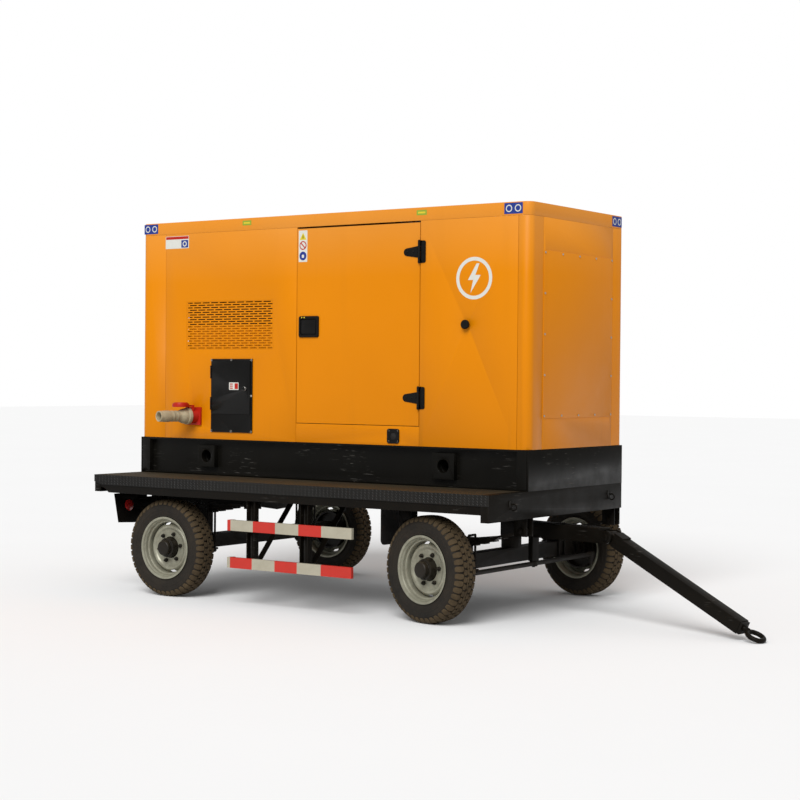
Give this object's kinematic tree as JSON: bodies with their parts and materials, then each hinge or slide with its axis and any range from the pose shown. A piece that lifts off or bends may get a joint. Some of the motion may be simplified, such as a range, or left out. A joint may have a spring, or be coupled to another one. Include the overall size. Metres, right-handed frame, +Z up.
{
  "type": "towable diesel generator",
  "caption": "Enclosed diesel generator on a flat four-wheel trailer with steered front axle, leaf springs, side guards, drawbar with tow eye, hinged service doors and side-mounted power socket.",
  "frame": {"origin": "under the middle of the standing trailer, drawbar included, on the ground", "axes": "+X forward towards the tow eye, +Y to the trailer's left, +Z up"},
  "size_m": [4.9844, 2.2332, 2.735],
  "materials": {
    "canopy_paint": "semi-gloss, slightly dusty",
    "frame_paint": "satin black, dusty",
    "axle_paint": "matt, dusty, a little rust",
    "deck_steel": "worn primer brown",
    "deck_trim": "chequer plate, dark grey",
    "lamp_lens": "gloss",
    "guard_paint": "white with red bands",
    "flap_rubber": "matt",
    "plain_steel": "dull zinc",
    "fitting_black": "satin",
    "lid_black": "smoked, glossy",
    "socket_red": "satin",
    "plug_white": "satin, slightly yellowed",
    "engine_paint": "gloss machinery paint",
    "alternator_paint": "grey paint",
    "radiator_black": "matt",
    "exhaust_steel": "heat-stained",
    "cabinet_grey": "powder coat",
    "fan_plastic": "matt",
    "tyre_rubber": "dusty",
    "rim_paint": "satin pale grey"
  },
  "bodies": {
    "trailer": {"main_rails": "frame_paint", "cross_members": "frame_paint", "side_rail": "frame_paint", "end_beams": "frame_paint", "deck_plate": "deck_steel", "deck_trim": "deck_trim", "lamp_board": "frame_paint", "tail_lamps": "lamp_lens", "guard_posts": "frame_paint", "guard_rails": "guard_paint", "mud_flap": "flap_rubber", "spring_hangers": "frame_paint", "leaf_springs": "frame_paint", "u_bolts": "plain_steel", "front_axle": "axle_paint", "rear_axle": "axle_paint", "skid_base": "frame_paint", "fuel_tank": "frame_paint", "fixed_panels": "canopy_paint", "corner_posts": "canopy_paint", "access_panel": "canopy_paint", "panel_screws": "plain_steel", "roof": "canopy_paint", "intake_grilles": "canopy_paint", "hinge_brackets": "fitting_black", "breaker_box": "fitting_black", "power_socket": "socket_red", "service_port": "fitting_black", "engine": "engine_paint", "alternator": "alternator_paint", "radiator": "radiator_black", "silencer": "exhaust_steel", "control_panel": "cabinet_grey"},
    "knuckle_right": {"knuckle_right": "frame_paint"},
    "knuckle_left": {"knuckle_left": "frame_paint"},
    "tie_rod": {"tie_rod": "frame_paint"},
    "yoke": {"yoke": "frame_paint"},
    "drawbar": {"drawbar": "frame_paint"},
    "wheel_front_right": {"tyre_front_right": "tyre_rubber", "rim_front_right": "rim_paint", "hub_front_right": "frame_paint"},
    "wheel_front_left": {"tyre_front_left": "tyre_rubber", "rim_front_left": "rim_paint", "hub_front_left": "frame_paint"},
    "wheel_rear_right": {"tyre_rear_right": "tyre_rubber", "rim_rear_right": "rim_paint", "hub_rear_right": "frame_paint"},
    "wheel_rear_left": {"tyre_rear_left": "tyre_rubber", "rim_rear_left": "rim_paint", "hub_rear_left": "frame_paint"},
    "door_right": {"door_right": "canopy_paint"},
    "door_left": {"door_left": "canopy_paint"},
    "latch_right": {"latch_right": "fitting_black"},
    "latch_left": {"latch_left": "fitting_black"},
    "breaker_lid": {"breaker_lid": "lid_black"},
    "breaker_toggle": {"breaker_toggle": "fitting_black"},
    "socket_lid": {"socket_lid": "socket_red"},
    "power_plug": {"power_plug": "plug_white"},
    "stop_button": {"stop_button": "fitting_black"},
    "cooling_fan": {"cooling_fan": "fan_plastic"}
  },
  "joints": [
    {"name": "steer_yaw", "type": "hinge", "parent": "trailer", "child": "yoke", "pos_m": [0.42536, 0.0124, 0.56], "axis": [0, 0, 1], "range_deg": [-16, 40]},
    {"name": "steer_knuckle_right", "type": "hinge", "parent": "trailer", "child": "knuckle_right", "pos_m": [0.42536, -0.8026, 0.35], "axis": [0, 0, 1], "range_deg": [-16, 40]},
    {"name": "steer_knuckle_left", "type": "hinge", "parent": "trailer", "child": "knuckle_left", "pos_m": [0.42536, 0.8274, 0.35], "axis": [0, 0, 1], "range_deg": [-16, 40]},
    {"name": "tie_rod_turn", "type": "hinge", "parent": "knuckle_right", "child": "tie_rod", "pos_m": [0.63077, -0.84626, 0.325], "axis": [0, 0, 1], "range_deg": [-40, 16]},
    {"name": "drawbar_lift", "type": "hinge", "parent": "yoke", "child": "drawbar", "pos_m": [1.30569, -0.17472, 0.56], "axis": [-0.2079, -0.9781, 0], "range_deg": [0, 100]},
    {"name": "spin_front_right", "type": "hinge", "parent": "knuckle_right", "child": "wheel_front_right", "pos_m": [0.39521, -0.94443, 0.35], "axis": [0.2079, 0.9781, 0], "continuous": true},
    {"name": "spin_rear_right", "type": "hinge", "parent": "trailer", "child": "wheel_rear_right", "pos_m": [-1.85964, -0.9476, 0.35], "axis": [0, 1, 0], "continuous": true},
    {"name": "spin_front_left", "type": "hinge", "parent": "knuckle_left", "child": "wheel_front_left", "pos_m": [0.4555, 0.96923, 0.35], "axis": [0.2079, 0.9781, 0], "continuous": true},
    {"name": "spin_rear_left", "type": "hinge", "parent": "trailer", "child": "wheel_rear_left", "pos_m": [-1.85964, 0.9724, 0.35], "axis": [0, 1, 0], "continuous": true},
    {"name": "door_right_swing", "type": "hinge", "parent": "trailer", "child": "door_right", "pos_m": [0.08036, -0.6456, 1.95], "axis": [0, 0, 1], "range_deg": [0, 115]},
    {"name": "door_left_swing", "type": "hinge", "parent": "trailer", "child": "door_left", "pos_m": [0.08036, 0.6704, 1.95], "axis": [0, 0, -1], "range_deg": [0, 115]},
    {"name": "latch_right_pull", "type": "hinge", "parent": "door_right", "child": "latch_right", "pos_m": [-0.86164, -0.6346, 1.988], "axis": [-1, 0, 0], "range_deg": [0, 40]},
    {"name": "latch_left_pull", "type": "hinge", "parent": "door_left", "child": "latch_left", "pos_m": [-0.86164, 0.6594, 1.988], "axis": [1, 0, 0], "range_deg": [0, 40]},
    {"name": "breaker_lid_swing", "type": "hinge", "parent": "trailer", "child": "breaker_lid", "pos_m": [-1.76164, -0.6476, 1.505], "axis": [0, 0, -1], "range_deg": [0, 100]},
    {"name": "breaker_switch", "type": "hinge", "parent": "trailer", "child": "breaker_toggle", "pos_m": [-1.57064, -0.5666, 1.51], "axis": [-1, 0, 0], "range_deg": [0, 40]},
    {"name": "socket_lid_lift", "type": "hinge", "parent": "trailer", "child": "socket_lid", "pos_m": [-1.93721, -0.67759, 1.369], "axis": [-0.9781, 0.2079, 0], "range_deg": [0, 70]},
    {"name": "plug_pull", "type": "slide", "parent": "trailer", "child": "power_plug", "axis": [-0.2079, -0.9781, 0], "range_m": [0, 0.3]},
    {"name": "stop_press", "type": "slide", "parent": "trailer", "child": "stop_button", "axis": [0, 1, 0], "range_m": [0, 0.006], "stiffness_N_per_m": 600},
    {"name": "fan_spin", "type": "hinge", "parent": "trailer", "child": "cooling_fan", "pos_m": [0.12036, 0.0124, 1.75], "axis": [1, 0, 0], "continuous": true}
  ],
  "couplings": [
    {"joint": "steer_knuckle_right", "follows": "steer_yaw", "ratio": 1},
    {"joint": "steer_knuckle_left", "follows": "steer_yaw", "ratio": 1},
    {"joint": "tie_rod_turn", "follows": "steer_yaw", "ratio": -1}
  ]
}
